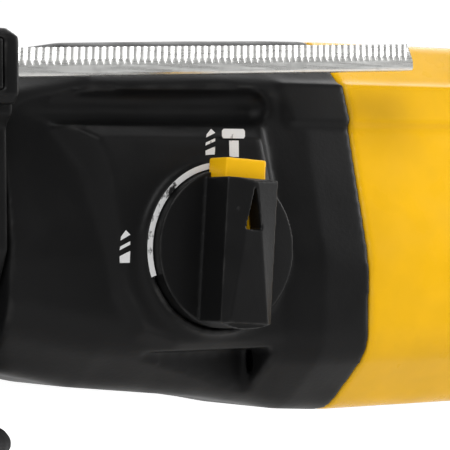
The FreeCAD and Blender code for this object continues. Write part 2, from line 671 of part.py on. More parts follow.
def shield_pad():
    """The raised pad round the selector, with bevelled edges."""
    foot = inset(PAD_OUTLINE, -PAD_BEVEL_WIDTH)
    wires = []
    for corners, across in ((foot, d.pad_y + PAD_BEVEL_DEPTH), (PAD_OUTLINE, d.pad_y)):
        points = [Vector(x, float(across), z) for x, z in corners]
        wires.append(Part.makePolygon(points + points[:1]))
    return Part.makeLoft(wires, True, True)


def rib_band(start, end, rear_bevel):
    """The raised band along the side below the shoulder."""
    points = [Vector(start, y, z) for y, z in RIB_SECTION]
    band = Part.Face(Part.makePolygon(points + points[:1])).extrude(Vector(end - start, 0, 0))
    if rear_bevel:
        corner = wedge([(start - 1, -26), (start - 1, -36), (start + 4, -36)], 10, 30)
        band = band.cut(corner)
    return band


def both(shape):
    return [shape, mirrored(shape)]


SCREW_PLACES = ((-18.5, 25.5), (18.5, 25.5), (-25, -51), (25, -51))


def build_gear_housing():
    names = ("nose", "front", "middle", "step", "belt", "rear")
    wall = float(d.wall)
    outer = housing_loft(names).fuse(tube((d.neck_x, 0, 0), X_AXIS, 35, d.neck_r))
    rim = tube((d.knob_x, d.ring_y, d.knob_z), Y_AXIS, 5, d.ring_r).cut(
        tube((d.knob_x, d.ring_y - 1, d.knob_z), Y_AXIS, d.pad_y - d.ring_y + 1, d.disc_r + d.gap))
    outer = outer.fuse([shield_pad(), rim] + both(rib_band(RIB_START_X, float(d.rear_x), True)))
    outer = outer.cut(both(channel(CHANNEL_R)) + both(scoop(0)))
    cavity = housing_loft(names, wall, (float(d.nose_x0) + 3, float(d.rear_x) + 1))
    cavity = cavity.cut(both(channel(CHANNEL_R + wall)) + both(scoop(wall)))
    web = slab((141, -45, -14), (150, 45, 45)).cut(tube((140, 0, 0), X_AXIS, 12, d.tube_r + 2.5))
    jack_boss = tube((d.nose_x0, 0, d.jack_z), X_AXIS, 8, 10.5)
    bosses = [tube((181, y, z), X_AXIS, 30, 5.2) for y, z in SCREW_PLACES]
    cavity = cavity.cut([web, jack_boss] + bosses)
    cavity = cavity.fuse(tube((138, 0, 0), X_AXIS, 20, d.tube_r + 0.6).cut(
        tube((141, 0, 0), X_AXIS, 9, d.tube_r + 3)))
    shape = outer.cut(cavity)
    bores = [
        tube((d.neck_x - 1, 0, 0), X_AXIS, 40, d.neck_lip_r),
        tube((d.seal_x, 0, 0), X_AXIS, 20, d.seal_r),
        tube((d.front_bearing_x, 0, 0), X_AXIS, 26, d.front_bearing_r),
        tube((d.jack_x + 1, 0, d.jack_z), X_AXIS, 10, d.jack_bearing_r),
        tube((d.jack_x - 0.5, 0, d.jack_z), X_AXIS, 4, d.jack_r + 0.5),
        tube((d.knob_x, -60, d.knob_z), Y_AXIS, 35, d.knob_shaft_r + d.fit),
        tube((140, 0, 0), X_AXIS, 12, d.tube_r + 2.5),
    ]
    bores += [tube((181, y, z), X_AXIS, 20, d.screw_r) for y, z in SCREW_PLACES]
    feature("gear_housing", shape.cut(bores))


def build_motor_housing():
    wall = float(d.wall)
    names = ("rear", "tail")
    outer = housing_loft(names).fuse(both(rib_band(float(d.rear_x), float(d.tail_x0), False)))
    cavity = housing_loft(names, wall, (float(d.rear_x) - 1, float(d.tail_x0) + 1))
    bosses = [tube((200, y, z), X_AXIS, 8, 5.2) for y, z in SCREW_PLACES]
    frames = [slab((x, -45, -65), (x + 3, 45, 40)) for x in (217, 230.5, 244)]
    seats = cavity.common(frames[0].fuse(frames[1:]))
    seats = seats.cut(tube((d.core_x, 0, d.armature_z), X_AXIS, 60, d.stator_r))
    shape = outer.cut(cavity).fuse([boss.common(cavity) for boss in bosses] + [seats])
    holes = [tube((190, y, z), X_AXIS, 30, d.screw_r) for y, z in SCREW_PLACES]
    feature("motor_housing", shape.cut(holes))
    profile = housing_wire("rear", wall + 0.15, float(d.plate_x))
    blank = Part.Face(profile).extrude(Vector(float(d.plate_width), 0, 0))
    holes = [tube((190, y, z), X_AXIS, 30, d.screw_r) for y, z in SCREW_PLACES]
    holes.append(tube((190, 0, d.armature_z), X_AXIS, 30, 10))
    holes.append(tube((190, 0, d.jack_z), X_AXIS, 30, d.jack_bearing_r))
    feature("inner_bearing_plate", blank.cut(holes))
    screws = []
    for number, (y, z) in enumerate(SCREW_PLACES):
        screws.append(turned("housing_screw_%d" % number, [
            (183, 0), (183, d.screw_r), (208, d.screw_r), (208, 3.8), (211.5, 3.8), (211.5, 1.2), (210, 1.2),
            (210, 0)], (0, y, z)))
    group("housing_screws", screws)


def loop_sweep(half_across, half_deep):
    """The top bar and the grip of the rear handle: one rounded section swept round a bend."""
    corner = d.loop_corner
    start = Vector(float(d.loop_x), 0, float(d.top_bar_z))
    bend = Vector(float(d.grip_x), 0, float(d.top_bar_z))
    low = Vector(float(d.grip_x) + 4, 0, float(d.grip_low_z))
    down = (low - bend).normalize()
    half = X_AXIS.getAngle(down) / 2
    reach = corner * math.tan(half)
    first = bend - X_AXIS * reach
    last = bend + down * reach
    inwards = (down - X_AXIS).normalize()
    middle = bend + inwards * (corner / math.cos(half) - corner)
    path = Part.Wire([
        Part.LineSegment(start, first).toShape(),
        Part.Arc(first, middle, last).toShape(),
        Part.LineSegment(last, low).toShape(),
    ])
    corners = [(-half_across, half_deep), (-half_across, -half_deep), (half_across, -half_deep),
               (half_across, half_deep)]
    profile = rounded_wire(corners, [min(half_across, half_deep) * 0.62] * 4,
                           lambda point: start + Vector(0, point.x, point.y))
    return path.makePipeShell([profile], True, False)


def low_bar(half_across, half_deep):
    """The lower bar of the rear handle, from the foot of the grip to the motor end."""
    rear = Vector(float(d.grip_x) + 6, 0, float(d.grip_low_z) - 2)
    front = Vector(float(d.low_bar_x), 0, float(d.low_bar_z))
    along = (front - rear).normalize()
    up = Vector(0, 1, 0).cross(along)
    wires = []
    for middle, deep in ((rear, half_deep + 4), (front, half_deep)):
        corners = [(-half_across, deep), (-half_across, -deep), (half_across, -deep), (half_across, deep)]
        wires.append(rounded_wire(corners, [min(half_across, deep) * 0.6] * 4,
                                  lambda point: middle + Vector(0, point.x, 0) + up * point.y))
    return Part.makeLoft(wires, True, True)


def grip_foot(radius):
    """The rounded foot of the grip, round which the lower bar turns."""
    return Part.makeSphere(radius, Vector(float(d.grip_x) + 5, 0, float(d.grip_low_z)))


VENT_COUNT = 6
HANDLE_SCREWS = ((262, 15), (316, 20), (343, 12), (349, -66), (306, -77.5), (262, -38))


def build_handle_shells():
    wall = float(d.wall)
    half = float(d.loop_half)
    names = ("tail", "waist", "end")
    outer = housing_loft(names).fuse([
        loop_sweep(half, half), low_bar(half - 2, 10), grip_foot(half)])
    inner = housing_loft(names, wall, (float(d.tail_x0) - 1, float(d.end_x0) - wall)).fuse([
        loop_sweep(half - wall, half - wall), low_bar(half - 2 - wall, 10 - wall),
        grip_foot(half - wall)])
    bosses = [tube((x, -60, z), Y_AXIS, 120, 4.2) for x, z in HANDLE_SCREWS]
    bulkhead = slab((268.5, -45, -60), (272, 45, 32)).cut(
        tube((260, 0, d.armature_z), X_AXIS, 30, d.bracket_r))
    solid = inner.cut(bosses + [bulkhead])
    shell = outer.cut(solid)
    half_window = d.trigger_half + 0.3
    windows = [
        slab((d.trigger_x - 5, -half_window, d.trigger_low_z - 0.4),
             (d.stop_x + 0.4, half_window, d.trigger_top_z + 0.4)),
        slab((325.7, -30, 5.7), (334.3, 30, 12.3)),
        tube((351, 0, d.grip_low_z - 44), Z_AXIS, 40, 6),
    ]
    for i in range(VENT_COUNT):
        vent_x = float(d.vent_x + i * d.vent_pitch)
        windows += both(slab((vent_x, 20, -30), (vent_x + float(d.vent_width), 50, 4)))
    shell = shell.cut(windows)
    right = shell.common(slab((240, 0, -160), (380, 60, 60)))
    left = shell.common(slab((240, -60, -160), (380, 0, 60)))
    left_holes = []
    right_holes = []
    screws = []
    for number, (x, z) in enumerate(HANDLE_SCREWS):
        side_y = handle_half_width(outer, x, z)
        head_y = side_y - 3.2
        left_holes.append(tube((x, -14, z), Y_AXIS, 16, 1.5))
        right_holes.append(tube((x, -1, z), Y_AXIS, side_y, 1.5))
        right_holes.append(tube((x, head_y - 2.4, z), Y_AXIS, 20, 3.3))
        screws.append(turned("handle_screw_%d" % number, [
            (-12, 0), (-12, 1.5), (head_y - 2.4, 1.5), (head_y - 2.4, 3.1), (head_y, 3.1), (head_y, 1),
            (head_y - 1.4, 1), (head_y - 1.4, 0)], (x, 0, z), Y_AXIS))
    feature("handle_shell_left", largest(left.cut(left_holes)))
    feature("handle_shell_right", largest(right.cut(right_holes)))
    group("handle_screws", screws)
    skin = loop_sweep(half + 1.6, half + 1.6).cut(outer)
    feature("grip_overmold", largest(skin.common(slab((357, -40, -84), (380, 40, -4)))))


def handle_half_width(shape, x, z):
    """How far out the shape reaches on the +Y side at one place of its side view."""
    probe = shape.common(tube((x, 0, z), Y_AXIS, 60, 0.2))
    return probe.BoundBox.YMax


def largest(shape):
    return max(shape.Solids, key=lambda solid: solid.Volume)


def build_controls():
    face = box("trigger_face", (d.trigger_x, -d.trigger_half, d.trigger_low_z),
               (d.trigger_x + 10, d.trigger_half, d.trigger_top_z))
    scallop = rod("trigger_scallop", (d.trigger_x - 34, -20, d.trigger_low_z / 2), Y_AXIS, 40, 36.5)
    stop_end = d.stop_x + d.stop_width
    stop = box("trigger_stop", (d.stop_x, -d.trigger_half - 2, d.trigger_low_z - 1.5),
               (stop_end, d.trigger_half + 2, d.trigger_top_z + 1.5))
    neck = box("trigger_neck", (d.trigger_x + 8, -d.trigger_half, d.trigger_low_z),
               (d.stop_x + 0.5, d.trigger_half, d.trigger_top_z))
    stem = rod("trigger_stem", (d.stop_x + 1, 0, -14), X_AXIS, 2.9, 3)
    fused("trigger", [cut("trigger_pad", face, [scallop]), neck, stop, stem])
    body = box("switch_block", (d.switch_x, -9, -50), (d.switch_end_x, 9, 0))
    socket = rod("switch_socket", (d.switch_x - 1, 0, -14), X_AXIS, 9, 3.3)
    cut("switch_body", body, [socket])
    spring("trigger_spring", (stop_end, 0, -34), X_AXIS, float(d.switch_x - stop_end), 3, 0.45, 3)
    bar = box("reverse_bar", (326, -20, 6), (334, 20, 12))
    nick = box("reverse_nick", (329, -16, 11), (331, 16, 13))
    cut("reverse_slider", bar, [nick])
    turned("cord_gland", [
        (-40, 3.6), (-40, 5.2), (-22, 6.2), (-20, 8.5), (-16.5, 8.5), (-16.5, 6), (-10, 6), (-10, 3.6),
    ], (351, 0, d.grip_low_z), Z_AXIS)


# ---- selector ----

def knob_frame(shape):
    """Moves a shape drawn round the Y axis, pointer up, to the turned knob."""
    shape.rotate(Vector(), Y_AXIS, float(d.knob_turn))
    shape.translate(Vector(float(d.knob_x), 0, float(d.knob_z)))
    return shape


def ridge():
    """The flat triangle on the bar, with sides that fall away to the bar's edges."""
    foot = [(-7.5, 17.6), (7.5, 17.6), (7.5, -18.6), (-7.5, -18.6)]
    top = [(-0.5, 16.8), (0.5, 16.8), (5.7, -18.6), (-5.7, -18.6)]
    wires = []
    for corners, across in ((foot, d.bar_y), (top, d.ridge_y)):
        points = [Vector(x, float(across), z) for x, z in corners]
        wires.append(Part.makePolygon(points + points[:1]))
    return Part.makeLoft(wires, True, True)


def build_selector():
    disc = tube((0, d.disc_y, 0), Y_AXIS, d.pad_y - d.disc_y - 0.3, d.disc_r)
    bar = slab((-d.bar_half, d.bar_y, -25), (d.bar_half, d.disc_y + 1, d.bar_end))
    bar = bar.common(tube((0, -60, 0), Y_AXIS, 30, d.disc_r - 0.1))
    knob = disc.fuse([bar, ridge()])
    side = float(d.lock_half) + 0.1
    lock_room = slab((-side, d.lock_y - 0.2, d.lock_in - 3.4), (side, d.lock_back_y + 0.1, 30))
    tongue_room = slab((-3.4, d.lock_y + 0.5, -3), (3.4, -45.2, d.lock_in))
    points = [Vector(0, -60, 16.4), Vector(2.35, -60, 4.8), Vector(-2.35, -60, 4.8)]
    window = Part.Face(Part.makePolygon(points + points[:1])).extrude(Vector(0, 12, 0))
    knob = knob.cut([lock_room, tongue_room, window])
    feature("selector_knob", knob_frame(knob))
    head = slab((-d.lock_half, d.lock_y, d.lock_in), (d.lock_half, d.lock_back_y, d.lock_out))
    tongue = slab((-3.2, d.lock_y + 0.7, 3.2), (3.2, -45.5, d.lock_in + 1))
    feature("selector_lock_button", knob_frame(head.fuse(tongue).removeSplitter()))
    turn = Rotation(Y_AXIS, float(d.knob_turn))
    foot = turn.multVec(Vector(0, -47.7, -3)) + Vector(float(d.knob_x), 0, float(d.knob_z))
    spring("selector_lock_spring", tuple(foot), turn.multVec(Z_AXIS), 6.2, 1.5, 0.3, 5)
    reach = float(d.knob_pin_r) * math.sqrt(0.5)
    shaft = rod("selector_axle", (d.knob_x, d.pad_y - 0.3, d.knob_z), Y_AXIS, 12.3, d.knob_shaft_r)
    pin = rod("selector_pin", (d.knob_x - reach, -26.5, d.knob_z - reach), Y_AXIS, 9, 1.5)
    fused("selector_shaft", [shaft, pin])


# ---- side handle and depth rod ----

def rod_profile(growth):
    """Section of the depth rod round its middle: two toothed faces lean in to a narrow top."""
    half = [(1.4, 3.5), (3.4, -1.1), (3.4, -3.0), (2.9, -3.5)]
    whole = half + [(-y, z) for y, z in half[::-1]]
    return [(y + math.copysign(growth, y), z + math.copysign(growth, z)) for y, z in whole]


def rod_solid(growth, start, end):
    """The depth rod's bar between two places, square to its own tilted axis."""
    points = [Vector(start, y, z) for y, z in rod_profile(growth)]
    bar = Part.Face(Part.makePolygon(points + points[:1])).extrude(Vector(end - start, 0, 0))
    bar.rotate(Vector(90, 0, 0), Y_AXIS, -float(d.rod_tilt))
    bar.translate(Vector(0, float(d.rod_y), float(d.rod_z)))
    return bar


def build_clamp():
    outline = [
        (-18, -36), (18, -36), (28.5, -27), (33.3, -18), (33.3, 17), (20, 30), (-20, 30),
        (-33, d.block_top_z),
        (d.block_y + 2, d.block_top_z), (d.block_y, d.block_top_z - 2), (d.block_y, d.block_z + 2),
        (d.block_y + 2, d.block_z), (d.block_in_y, d.block_z), (-33.3, 12), (-33.3, -18), (-28.5, -27),
    ]
    hoop = plate("clamp_hoop", "YZ_Plane", outline, d.clamp_x, d.clamp_width)
    cup = turned("clamp_cup", [(-30, 0), (-30, 15), (-45, 19), (-61.7, 20), (-61.7, 0)],
                 (d.handle_x, 0, 0), Z_AXIS)
    nose_room = ring("clamp_nose_room", d.clamp_x + d.clamp_width + 0.5, 20, 10, d.nose_room_r)
    whole = fused("clamp_blank", [hoop, cup])
    bore = rod("clamp_bore", (d.clamp_x - 1, 0, 0), X_AXIS, d.clamp_width + 2, d.clamp_in_r)
    stud_hole = rod("clamp_stud_hole", (d.handle_x, 0, -70), Z_AXIS, 50, d.clamp_bolt_r)
    tunnel = feature("rod_tunnel", rod_solid(0.12, 50, 110))
    side = d.button_x - 0.2
    pocket = box("button_pocket", (side, d.block_y - 1, 19.8), (side + d.button_width + 0.4, -41, 32.2))
    behind_block = plate("clamp_block_trim", "XZ_Plane", [
        (d.block_end_x, 10), (d.block_end_x, d.block_top_z - 2.4), (d.block_end_x - 2.4, d.block_top_z),
        (d.block_end_x - 2.4, 40), (95, 40), (95, 10)], -36.5, 20)
    cut("clamp_bracket", whole, [bore, stud_hole, tunnel, pocket, nose_room, behind_block])
    ring("clamp_band", d.clamp_x + 2, d.clamp_width - 4, d.band_r, d.clamp_in_r)
    turned("clamp_bolt", [
        (-24.2, 0), (-24.2, 3.5), (-27, 3.5), (-27, d.clamp_bolt_r), (-110, d.clamp_bolt_r), (-110, 0)],
        (d.handle_x, 0, 0), Z_AXIS)
    end = d.button_x + d.button_width
    cap = box("button_cap", (d.button_x, d.block_y + 0.3, 20), (end, d.rod_y - 5.6, 32))
    legs = [
        box("button_leg_low", (d.button_x, d.rod_y - 6, 20), (end, d.rod_y + 1, 22)),
        box("button_leg_high", (d.button_x, d.rod_y - 6, 30.7), (end, d.rod_y + 1, 32)),
    ]
    fused("rod_release_button", [cap] + legs)
    feature("depth_rod", rod_solid(0, float(d.rod_x), float(d.rod_x + d.rod_length)))


def build_side_grip():
    top = d.flange_z
    turned("side_handle_grip", [
        (top, d.clamp_bolt_r + d.fit), (top, 20), (top - 1.5, d.flange_r - 3), (top - 4, d.flange_r),
        (top - 6, d.flange_r), (top - 9, d.flange_r - 5), (top - 12, d.grip_r - 1),
        (top - 18, d.grip_r - 2.5), (top - 50, d.grip_r), (top - 80, d.grip_r - 0.8),
        (top - 96, d.grip_r - 2), (top - 104, d.grip_r + 1.5),
        (top - 109, d.grip_r + 1.5), (d.grip_end_z, d.grip_r - 3), (d.grip_end_z, 0), (-112, 0),
        (-112, d.clamp_bolt_r + d.fit),
    ], (d.handle_x, 0, 0), Z_AXIS)


BUILDERS = (
    build_spindle, build_chuck, build_hammer, build_gear_train, build_armature, build_stator,
    build_brushes, build_gear_housing, build_motor_housing, build_handle_shells, build_controls,
    build_selector, build_clamp, build_side_grip,
)

NODES = """
gear_housing motor_housing handle_shell_left handle_shell_right grip_overmold inner_bearing_plate
spindle spindle_gear locking_ball lock_ring chuck_sleeve sleeve_spring dust_cap chuck_snap_ring
spindle_front_bearing spindle_seal spindle_rear_bush impact_bolt ram ram_o_ring piston piston_pin
wobble_ring wobble_hub jackshaft jackshaft_pinion jackshaft_gear jackshaft_bearings clutch_sleeve
shift_fork armature_shaft armature_core armature_windings commutator cooling_fan armature_bearings
stator_core stator_windings motor_end_bracket brush_holders brush_left brush_right brush_springs
trigger trigger_spring switch_body reverse_slider cord_gland housing_screws selector_knob
selector_lock_button selector_lock_spring selector_shaft clamp_bracket clamp_band clamp_bolt
side_handle_grip depth_rod rod_release_button handle_screws
""".split()


def main():
    for build in BUILDERS:
        build()
    doc.recompute()
    for thing in doc.Objects:
        if "Invalid" in thing.State or "Error" in thing.State:
            raise RuntimeError("%s failed: %s" % (thing.Label, thing.State))
    os.makedirs("parts", exist_ok=True)
    for node in NODES:
        shape = doc.getObjectsByLabel(node)[0].Shape
        if shape.isNull() or not shape.isValid() or not shape.Solids:
            raise RuntimeError("%s has no valid shape" % node)
        shape.exportStep("parts/%s.step" % node)
        print("%-24s %9.0f mm3 %3d solids" % (node, shape.Volume, len(shape.Solids)))


main()
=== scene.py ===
import json
import math

import bmesh
import bpy
from bpy.props import FloatProperty, FloatVectorProperty, IntProperty, PointerProperty
from mathutils import Matrix, Vector


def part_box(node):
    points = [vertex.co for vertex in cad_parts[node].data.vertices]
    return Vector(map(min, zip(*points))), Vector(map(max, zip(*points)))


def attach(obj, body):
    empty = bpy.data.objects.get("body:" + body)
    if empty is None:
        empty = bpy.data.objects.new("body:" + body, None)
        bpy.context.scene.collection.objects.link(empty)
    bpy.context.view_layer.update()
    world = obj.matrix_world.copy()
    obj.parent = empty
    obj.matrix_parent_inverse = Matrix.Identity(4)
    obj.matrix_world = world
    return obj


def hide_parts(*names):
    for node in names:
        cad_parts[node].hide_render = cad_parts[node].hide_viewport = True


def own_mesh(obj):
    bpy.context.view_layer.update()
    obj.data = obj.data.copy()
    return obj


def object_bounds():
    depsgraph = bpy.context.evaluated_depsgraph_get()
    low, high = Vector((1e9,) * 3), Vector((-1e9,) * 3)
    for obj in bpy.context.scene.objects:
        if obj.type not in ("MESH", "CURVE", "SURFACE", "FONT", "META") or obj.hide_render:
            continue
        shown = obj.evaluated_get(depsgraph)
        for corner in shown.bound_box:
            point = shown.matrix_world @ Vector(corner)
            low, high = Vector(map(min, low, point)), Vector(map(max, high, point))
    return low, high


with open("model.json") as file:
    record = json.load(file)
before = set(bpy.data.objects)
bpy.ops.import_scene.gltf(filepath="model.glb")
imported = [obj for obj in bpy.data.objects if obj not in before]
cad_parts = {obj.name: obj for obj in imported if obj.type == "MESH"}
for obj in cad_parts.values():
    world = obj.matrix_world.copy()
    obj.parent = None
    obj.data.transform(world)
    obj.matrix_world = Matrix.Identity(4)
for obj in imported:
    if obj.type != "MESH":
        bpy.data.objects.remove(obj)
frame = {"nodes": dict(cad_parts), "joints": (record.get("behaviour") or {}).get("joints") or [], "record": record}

bl_info = {
    "name": "Rotary Hammer",
    "version": (1, 0, 0),
    "blender": (4, 5, 0),
    "location": "View3D > Sidebar > Hammer",
    "description": "Builds the visible pieces and finishes of a rotary hammer round its packed frame",
    "category": "Object",
}

CAD_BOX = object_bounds()
MM = 0.001
X_AXIS = Vector((1, 0, 0))
Y_AXIS = Vector((0, 1, 0))
Z_AXIS = Vector((0, 0, 1))
BODY_OF = {
    node: body
    for body, nodes in frame["record"]["behaviour"]["bodies"].items()
    for node in nodes
}
SLOT_OF = {part["node"]: part["material_slot"] for part in frame["record"]["subparts"]}


def joint(name):
    return next(j for j in frame["joints"] if j["name"] == name)


def middle(node):
    low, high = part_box(node)
    return (low + high) / 2


def extent(node):
    low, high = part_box(node)
    return high - low


# ---- finishes ----

class Finish:
    """A Principled material being wired, its patterns on object coordinates."""

    def __init__(self, name, color=(0.5, 0.5, 0.5), roughness=0.5, **sockets):
        self.material = bpy.data.materials.new(name)
        self.material.use_nodes = True
        self.nodes = self.material.node_tree.nodes
        self.links = self.material.node_tree.links
        self.shader = self.nodes["Principled BSDF"]
        self.place = self.nodes.new("ShaderNodeTexCoord").outputs["Object"]
        self.set("Base Color", (*color, 1))
        self.set("Roughness", roughness)
        for socket, value in sockets.items():
            self.set(socket.replace("_", " "), value)

    def set(self, socket, value):
        self.shader.inputs[socket].default_value = value

    def drive(self, socket, source):
        self.links.new(source, self.shader.inputs[socket])

    def mapped(self, stretch=(1, 1, 1), turn=(0, 0, 0)):
        node = self.nodes.new("ShaderNodeMapping")
        node.inputs["Scale"].default_value = stretch
        node.inputs["Rotation"].default_value = turn
        self.links.new(self.place, node.inputs["Vector"])
        return node.outputs["Vector"]

    def noise(self, size, detail=3.0, stretch=(1, 1, 1), turn=(0, 0, 0)):
        """A noise whose lumps are about size metres across."""
        node = self.nodes.new("ShaderNodeTexNoise")
        node.inputs["Scale"].default_value = 1 / size
        node.inputs["Detail"].default_value = detail
        self.links.new(self.mapped(stretch, turn), node.inputs["Vector"])
        return node.outputs["Fac"]

    def bands(self, size, direction, distortion=0.0):
        node = self.nodes.new("ShaderNodeTexWave")
        node.bands_direction = direction
        node.inputs["Scale"].default_value = 0.3 / size
        node.inputs["Distortion"].default_value = distortion
        self.links.new(self.place, node.inputs["Vector"])
        return node.outputs["Fac"]

    def edges(self, low, high):
        """Rises from 0 to 1 on convex edges."""
        geometry = self.nodes.new("ShaderNodeNewGeometry")
        return self.ranged(geometry.outputs["Pointiness"], low, high, 0, 1)

    def ranged(self, source, from_low, from_high, low, high):
        node = self.nodes.new("ShaderNodeMapRange")
        for socket, value in zip(("From Min", "From Max", "To Min", "To Max"),
                                 (from_low, from_high, low, high)):
            node.inputs[socket].default_value = value
        self.links.new(source, node.inputs["Value"])
        return node.outputs["Result"]

    def product(self, first, second):
        node = self.nodes.new("ShaderNodeMath")
        node.operation = "MULTIPLY"
        self.links.new(first, node.inputs[0])
        self.links.new(second, node.inputs[1])
        return node.outputs["Value"]

    def blend(self, factor, first, second):
        """Mixes two colours, either of which may be a socket."""
        node = self.nodes.new("ShaderNodeMix")
        node.data_type = "RGBA"
        self.links.new(factor, node.inputs["Factor"])
        for name, value in (("A", first), ("B", second)):
            socket = next(s for s in node.inputs if s.name == name and s.type == "RGBA")
            if isinstance(value, bpy.types.NodeSocket):
                self.links.new(value, socket)
            else:
                socket.default_value = (*value, 1)
        return next(s for s in node.outputs if s.type == "RGBA")

    def bump(self, height, depth, strength=1.0):
        node = self.nodes.new("ShaderNodeBump")
        node.inputs["Distance"].default_value = depth
        node.inputs["Strength"].default_value = strength
        self.links.new(height, node.inputs["Height"])
        previous = self.shader.inputs["Normal"]
        if previous.is_linked:
            self.links.new(previous.links[0].from_socket, node.inputs["Normal"])
        self.drive("Normal", node.outputs["Normal"])


def moulded_plastic(name, color, worn, roughness, grain_depth, wear=0.5):
    """Injection moulded plastic: spark-eroded grain, faint cloudiness and rubbed edges."""
    finish = Finish(name, color, roughness, Specular_IOR_Level=0.14)
    cloud = finish.noise(0.03, 4)
    speckle = finish.noise(0.0012, 2)
    dark = tuple(c * 0.82 for c in color)
    body = finish.blend(finish.ranged(cloud, 0.35, 0.7, 0, 1), color, dark)
    patches = finish.ranged(finish.noise(0.006, 5), 0.4, 0.7, 0, wear)
    rubbed = finish.product(finish.edges(0.515, 0.58), patches)
    finish.drive("Base Color", finish.blend(rubbed, body, worn))
    sheen = finish.ranged(finish.noise(0.012, 5), 0.3, 0.75, roughness - 0.06, roughness + 0.1)
    finish.drive("Roughness", sheen)
    finish.bump(speckle, grain_depth, 0.6)
    finish.bump(finish.noise(0.0004, 1), grain_depth * 0.5, 0.5)
    return finish.material


def soft_rubber(name, color):
    """Matt elastomer with a fine stipple and a dusty bloom."""
    finish = Finish(name, color, 0.7, Specular_IOR_Level=0.3)
    bloom = finish.ranged(finish.noise(0.015, 5), 0.4, 0.75, 0, 0.35)
    finish.drive("Base Color", finish.blend(bloom, color, tuple(c * 2.2 + 0.01 for c in color)))
    finish.drive("Roughness", finish.ranged(finish.noise(0.004, 3), 0.3, 0.7, 0.6, 0.85))
    finish.bump(finish.noise(0.0007, 2), 0.00006, 0.7)
    return finish.material


def plated_steel(name, color, roughness):
    """Bright plated steel with drawing streaks along X and small dull spots."""
    finish = Finish(name, color, roughness, Metallic=0.85)
    streak = finish.noise(0.0006, 3, (0.05, 1, 1))
    spots = finish.ranged(finish.noise(0.003, 5), 0.5, 0.72, 0, 0.6)
    finish.drive("Base Color", finish.blend(spots, color, tuple(c * 0.72 for c in color)))
    finish.drive("Roughness", finish.ranged(streak, 0.3, 0.7, roughness - 0.07, roughness + 0.14))
    finish.bump(streak, 0.00002, 0.4)
    return finish.material


def machined_steel(name, color, roughness):
    """Ground steel with an oil film that pools in patches."""
    finish = Finish(name, color, roughness, Metallic=1.0)
    oil = finish.ranged(finish.noise(0.009, 4), 0.42, 0.68, 0, 0.8)
    oiled = (color[0] * 0.62, color[1] * 0.56, color[2] * 0.46)
    finish.drive("Base Color", finish.blend(oil, color, oiled))
    grinding = finish.noise(0.002, 4)
    finish.drive("Roughness", finish.ranged(grinding, 0.3, 0.7, roughness - 0.1, roughness + 0.1))
    finish.bump(finish.noise(0.0005, 2, (1, 0.1, 0.1)), 0.00002, 0.35)
    return finish.material


def cast_aluminium(name, color):
    """Die cast aluminium: dull skin, flow marks and fine pits."""
    finish = Finish(name, color, 0.5, Metallic=1.0)
    flow = finish.noise(0.012, 6)
    marks = finish.ranged(flow, 0.35, 0.7, 0, 1)
    finish.drive("Base Color", finish.blend(marks, color, tuple(c * 0.75 for c in color)))
    finish.drive("Roughness", finish.ranged(flow, 0.3, 0.7, 0.42, 0.62))
    finish.bump(finish.noise(0.0009, 3), 0.00005, 0.5)
    return finish.material


def enamelled_wire(name, color):
    """Lacquered copper wire laid side by side, the grooves between the windings darkened with painted shade."""
    finish = Finish(name, color, 0.3, Metallic=0.9, Coat_Weight=0.4)
    turn_ridges_and_groove_shade = finish.bands(0.0009, "X", 1.5)
    # Painted shade: the copper darkens to under half its colour where the windings dip into their grooves.
    finish.drive("Base Color", finish.blend(turn_ridges_and_groove_shade, tuple(c * 0.45 for c in color), color))
    finish.drive("Roughness", finish.ranged(turn_ridges_and_groove_shade, 0, 1, 0.45, 0.22))
    finish.bump(turn_ridges_and_groove_shade, 0.0002, 0.9)
    return finish.material


def pressed_carbon(name, color):
    """Pressed carbon with bright graphite flecks."""
    finish = Finish(name, color, 0.55)
    flecks = finish.ranged(finish.noise(0.0006, 4), 0.6, 0.72, 0, 0.5)
    finish.drive("Base Color", finish.blend(flecks, color, (0.22, 0.22, 0.23)))
    finish.drive("Roughness", finish.ranged(finish.noise(0.0012, 3), 0.3, 0.7, 0.4, 0.7))
    return finish.material


def pad_print(name, color, under, wear):
    """A pad-printed mark, thin enough for the plastic to show where it has rubbed away."""
    finish = Finish(name, color, 0.5)
    gone = finish.ranged(finish.noise(0.0022, 5), 0.62 - wear, 0.72 - wear, 0, 1)
    finish.drive("Base Color", finish.blend(gone, color, under))
    finish.drive("Roughness", finish.ranged(finish.noise(0.001, 3), 0.3, 0.7, 0.4, 0.6))
    finish.bump(finish.noise(0.0006, 2), 0.00003, 0.4)
    return finish.material


# How brightly the sheet glows as a lamp on the tool, and as it is seen.
PAPER_BOUNCE = 0.05
PAPER_GLOW = 0.72


def studio_paper(name, color):
    """The pale sheet under the tool, with a paper tooth too fine to see from afar."""
    finish = Finish(name, color, 0.9)
    tooth = finish.noise(0.004, 3)
    finish.drive("Base Color", finish.blend(tooth, color, tuple(c * 0.985 for c in color)))
    finish.set("Emission Color", (1, 1, 1, 1))
    seen = finish.nodes.new("ShaderNodeLightPath").outputs["Is Camera Ray"]
    finish.drive("Emission Strength", finish.ranged(seen, 0, 1, PAPER_BOUNCE, PAPER_GLOW))
    return finish.material


FINISHES = {}


